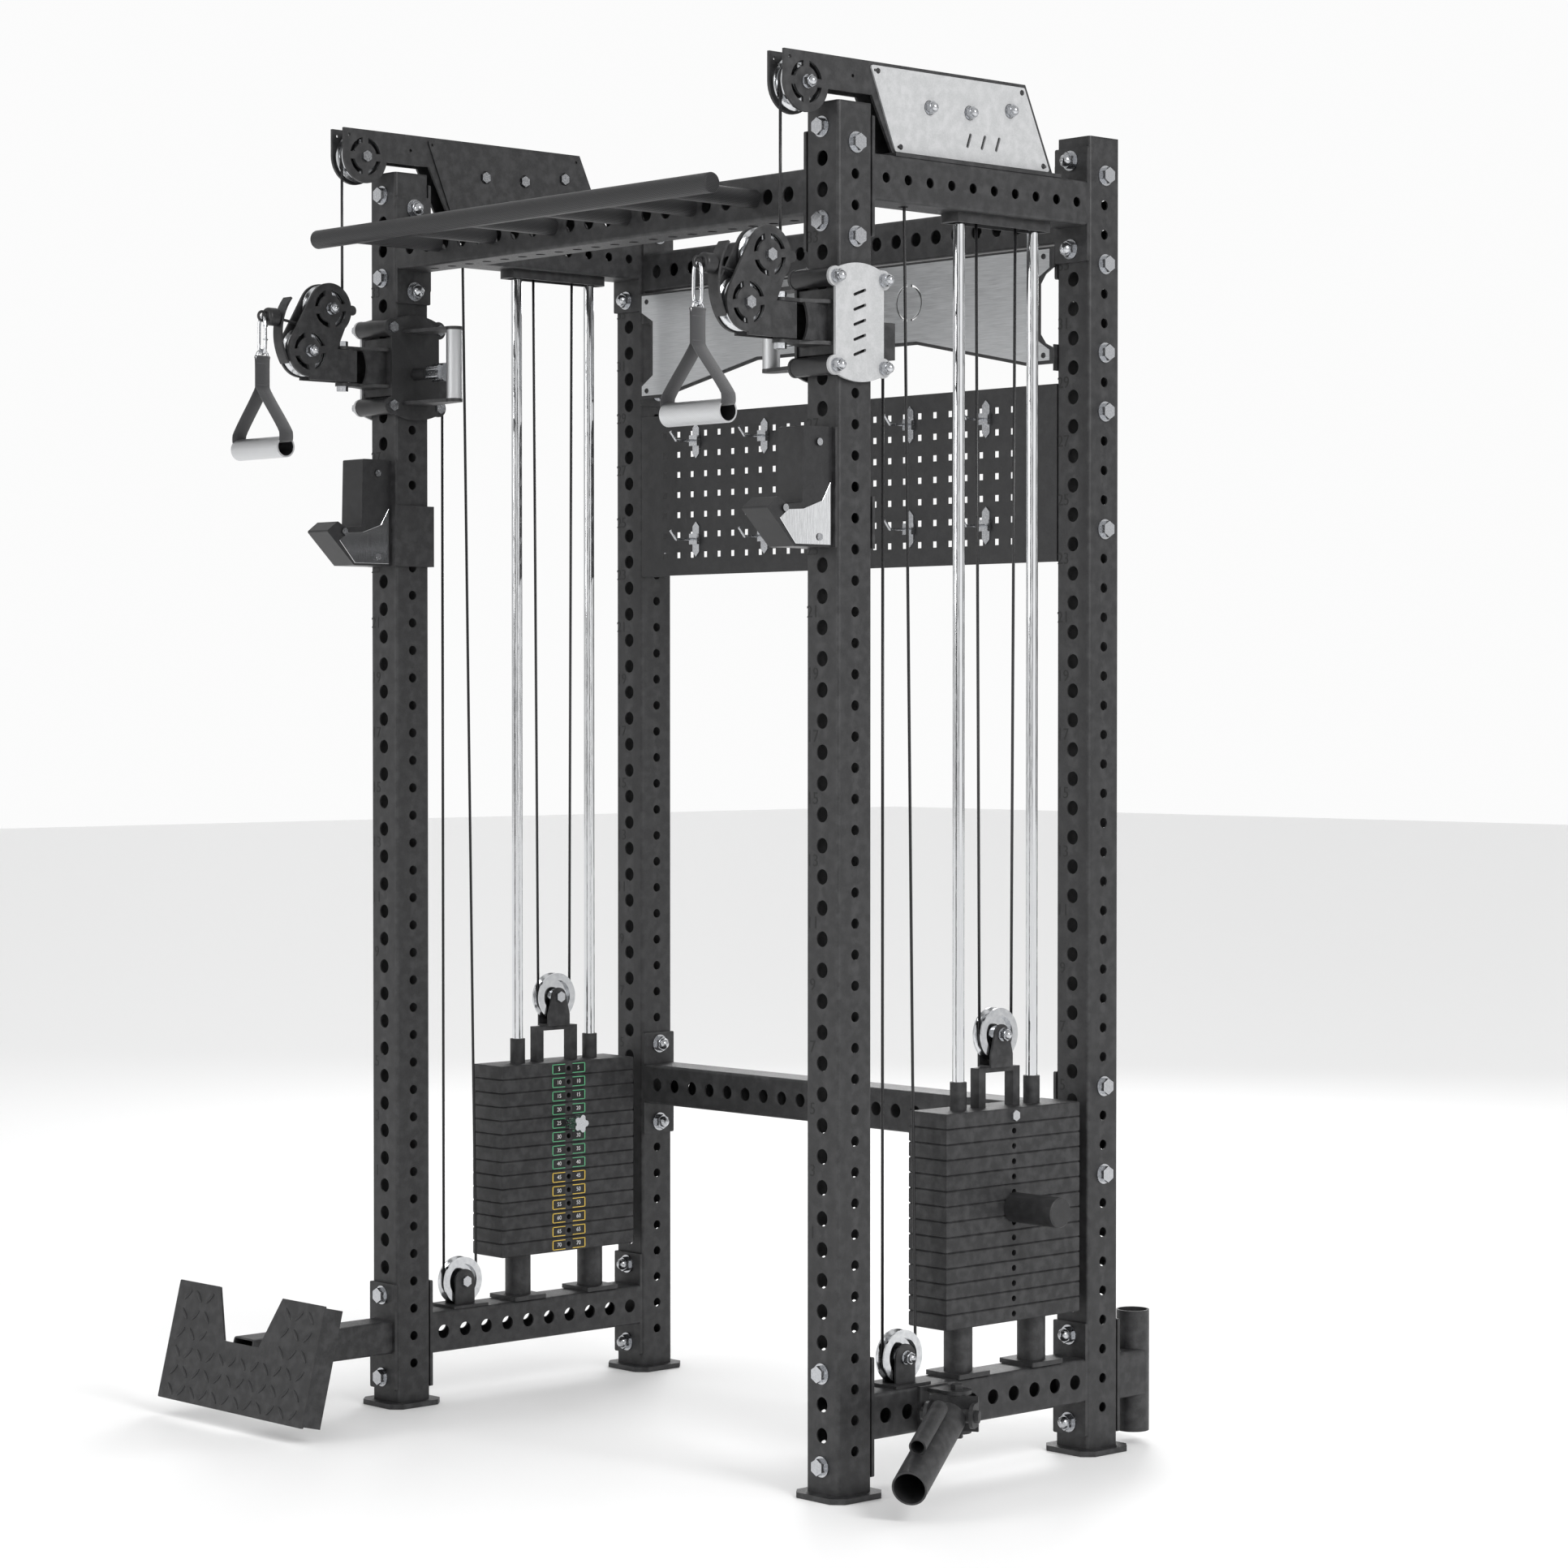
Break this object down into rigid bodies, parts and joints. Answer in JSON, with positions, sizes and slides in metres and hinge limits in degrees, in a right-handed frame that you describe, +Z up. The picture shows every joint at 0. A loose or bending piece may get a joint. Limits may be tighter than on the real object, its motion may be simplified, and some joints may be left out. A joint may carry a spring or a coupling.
{
  "type": "functional trainer",
  "caption": "Four-post power rack with built-in weight stacks, sliding pulley carriages, pull-up bar, bar hooks, pegboard, foot plate, barbell tube and landmine.",
  "frame": {"origin": "centre of the bounding box, on the floor", "axes": "+X to the user's right, +Y to the rear, +Z up"},
  "size_m": [1.64, 1.1184, 2.315],
  "materials": {
    "frame_paint": "satin black powder coat",
    "silver_paint": "satin silver grey",
    "zinc": "bright zinc plated",
    "rod_chrome": "polished chrome",
    "grip_metal": "knurled aluminium",
    "plate_iron": "black coated iron",
    "roller_plastic": "moulded nylon",
    "pulley_metal": "turned aluminium",
    "cable_sheath": "nylon coated steel rope",
    "strap_fabric": "woven webbing",
    "liner_plastic": "dense plastic liner"
  },
  "bodies": {
    "rack": {"uprights": "frame_paint", "side_beams": "frame_paint", "front_beam": "frame_paint", "pull_up_bar": "frame_paint", "rear_beam_top": "frame_paint", "rear_beam_low": "frame_paint", "frame_bolts": "zinc", "frame_nuts": "zinc", "pegboard": "frame_paint", "pegboard_hooks": "rod_chrome", "rear_panel": "frame_paint", "rear_panel_cover": "silver_paint", "top_pulley_plates": "frame_paint", "top_plate_covers": "silver_paint", "top_inner_pulleys": "pulley_metal", "pulley_bolts": "zinc", "guide_rods": "rod_chrome", "rod_top_brackets": "frame_paint", "stack_supports": "frame_paint", "resting_plates": "plate_iron", "bottom_pulley_brackets": "frame_paint", "foot_plate": "frame_paint", "barbell_holder": "frame_paint", "landmine_bracket": "frame_paint", "loading_pegs": "frame_paint", "fixed_cables": "cable_sheath", "stack_cables_right": "cable_sheath", "stack_cables_left": "cable_sheath", "front_cable_right": "cable_sheath", "front_cable_left": "cable_sheath", "low_cable_right": "cable_sheath", "low_cable_left": "cable_sheath"},
    "landmine_swivel": {"landmine_yoke": "frame_paint"},
    "landmine_arm": {"landmine_tubes": "frame_paint"},
    "stack_right": {"lifted_stack_right": "plate_iron"},
    "stack_wheel_right": {"stack_pulley_right": "pulley_metal"},
    "selector_right": {"selector_pin_right": "rod_chrome"},
    "front_wheel_right": {"front_pulley_right": "pulley_metal"},
    "bottom_wheel_right": {"bottom_pulley_right": "pulley_metal"},
    "carriage_right": {"carriage_frame_right": "frame_paint", "carriage_rollers_right": "roller_plastic"},
    "plunger_right": {"carriage_pin_right": "rod_chrome"},
    "head_right": {"swivel_head_right": "frame_paint", "swivel_pulleys_right": "pulley_metal"},
    "handle_right": {"handle_strap_right": "strap_fabric", "handle_grip_right": "grip_metal"},
    "hook_right": {"jhook_right": "liner_plastic"},
    "stack_left": {"lifted_stack_left": "plate_iron"},
    "stack_wheel_left": {"stack_pulley_left": "pulley_metal"},
    "selector_left": {"selector_pin_left": "rod_chrome"},
    "front_wheel_left": {"front_pulley_left": "pulley_metal"},
    "bottom_wheel_left": {"bottom_pulley_left": "pulley_metal"},
    "carriage_left": {"carriage_frame_left": "frame_paint", "carriage_rollers_left": "roller_plastic"},
    "plunger_left": {"carriage_pin_left": "rod_chrome"},
    "head_left": {"swivel_head_left": "frame_paint", "swivel_pulleys_left": "pulley_metal"},
    "handle_left": {"handle_strap_left": "strap_fabric", "handle_grip_left": "grip_metal"},
    "hook_left": {"jhook_left": "liner_plastic"}
  },
  "joints": [
    {"name": "stack_lift_right", "type": "slide", "parent": "rack", "child": "stack_right", "axis": [0, 0, 1], "range_m": [0, 1.2], "deforming": ["stack_cables_right"]},
    {"name": "stack_wheel_spin_right", "type": "hinge", "parent": "stack_right", "child": "stack_wheel_right", "pos_m": [0.55998, 0.18675, 0.728], "axis": [1, 0, 0], "continuous": true},
    {"name": "selector_pull_right", "type": "slide", "parent": "stack_right", "child": "selector_right", "axis": [-1, 0, 0], "range_m": [0, 0.1]},
    {"name": "front_wheel_spin_right", "type": "hinge", "parent": "rack", "child": "front_wheel_right", "pos_m": [0.55998, -0.26625, 2.267], "axis": [1, 0, 0], "continuous": true},
    {"name": "bottom_wheel_spin_right", "type": "hinge", "parent": "rack", "child": "bottom_wheel_right", "pos_m": [0.55998, -0.03925, 0.212], "axis": [1, 0, 0], "continuous": true},
    {"name": "carriage_slide_right", "type": "slide", "parent": "rack", "child": "carriage_right", "axis": [0, 0, 1], "range_m": [-0.06, 0], "deforming": ["front_cable_right", "low_cable_right"]},
    {"name": "plunger_travel_right", "type": "slide", "parent": "carriage_right", "child": "plunger_right", "axis": [1, 0, 0], "range_m": [0, 0.012]},
    {"name": "head_swivel_right", "type": "hinge", "parent": "carriage_right", "child": "head_right", "pos_m": [0.55998, -0.30425, 1.89], "axis": [0, 0, 1], "range_deg": [-85, 85]},
    {"name": "handle_swing_right", "type": "hinge", "parent": "head_right", "child": "handle_right", "pos_m": [0.55998, -0.47925, 1.9648], "axis": [1, 0, 0], "range_deg": [-75, 8]},
    {"name": "hook_turn_right", "type": "hinge", "parent": "rack", "child": "hook_right", "pos_m": [0.55998, -0.21275, 1.703], "axis": [0, 1, 0], "range_deg": [0, 90]},
    {"name": "stack_lift_left", "type": "slide", "parent": "rack", "child": "stack_left", "axis": [0, 0, 1], "range_m": [0, 1.2], "deforming": ["stack_cables_left"]},
    {"name": "stack_wheel_spin_left", "type": "hinge", "parent": "stack_left", "child": "stack_wheel_left", "pos_m": [-0.60002, 0.18675, 0.728], "axis": [1, 0, 0], "continuous": true},
    {"name": "selector_pull_left", "type": "slide", "parent": "stack_left", "child": "selector_left", "axis": [1, 0, 0], "range_m": [0, 0.1]},
    {"name": "front_wheel_spin_left", "type": "hinge", "parent": "rack", "child": "front_wheel_left", "pos_m": [-0.60002, -0.26625, 2.267], "axis": [1, 0, 0], "continuous": true},
    {"name": "bottom_wheel_spin_left", "type": "hinge", "parent": "rack", "child": "bottom_wheel_left", "pos_m": [-0.60002, -0.03925, 0.212], "axis": [1, 0, 0], "continuous": true},
    {"name": "carriage_slide_left", "type": "slide", "parent": "rack", "child": "carriage_left", "axis": [0, 0, 1], "range_m": [-0.06, 0], "deforming": ["front_cable_left", "low_cable_left"]},
    {"name": "plunger_travel_left", "type": "slide", "parent": "carriage_left", "child": "plunger_left", "axis": [-1, 0, 0], "range_m": [0, 0.012]},
    {"name": "head_swivel_left", "type": "hinge", "parent": "carriage_left", "child": "head_left", "pos_m": [-0.60002, -0.30425, 1.89], "axis": [0, 0, -1], "range_deg": [-85, 85]},
    {"name": "handle_swing_left", "type": "hinge", "parent": "head_left", "child": "handle_left", "pos_m": [-0.60002, -0.47925, 1.9648], "axis": [1, 0, 0], "range_deg": [-75, 8]},
    {"name": "hook_turn_left", "type": "hinge", "parent": "rack", "child": "hook_left", "pos_m": [-0.60002, -0.21275, 1.703], "axis": [0, -1, 0], "range_deg": [0, 90]},
    {"name": "landmine_yaw", "type": "hinge", "parent": "rack", "child": "landmine_swivel", "pos_m": [0.64798, 0.00675, 0.128], "axis": [0, 0, 1], "range_deg": [-14, 110]},
    {"name": "landmine_pitch", "type": "hinge", "parent": "landmine_swivel", "child": "landmine_arm", "pos_m": [0.66898, -0.02962, 0.128], "axis": [0.866, 0.5, 0], "range_deg": [-68, 0]}
  ],
  "couplings": [
    {"joint": "stack_wheel_spin_right", "follows": "stack_lift_right", "rad_per_m": 26.316},
    {"joint": "front_wheel_spin_right", "follows": "stack_lift_right", "rad_per_m": 52.632},
    {"joint": "bottom_wheel_spin_right", "follows": "carriage_slide_right", "rad_per_m": 26.316},
    {"joint": "stack_wheel_spin_left", "follows": "stack_lift_left", "rad_per_m": 26.316},
    {"joint": "front_wheel_spin_left", "follows": "stack_lift_left", "rad_per_m": 52.632},
    {"joint": "bottom_wheel_spin_left", "follows": "carriage_slide_left", "rad_per_m": 26.316}
  ]
}
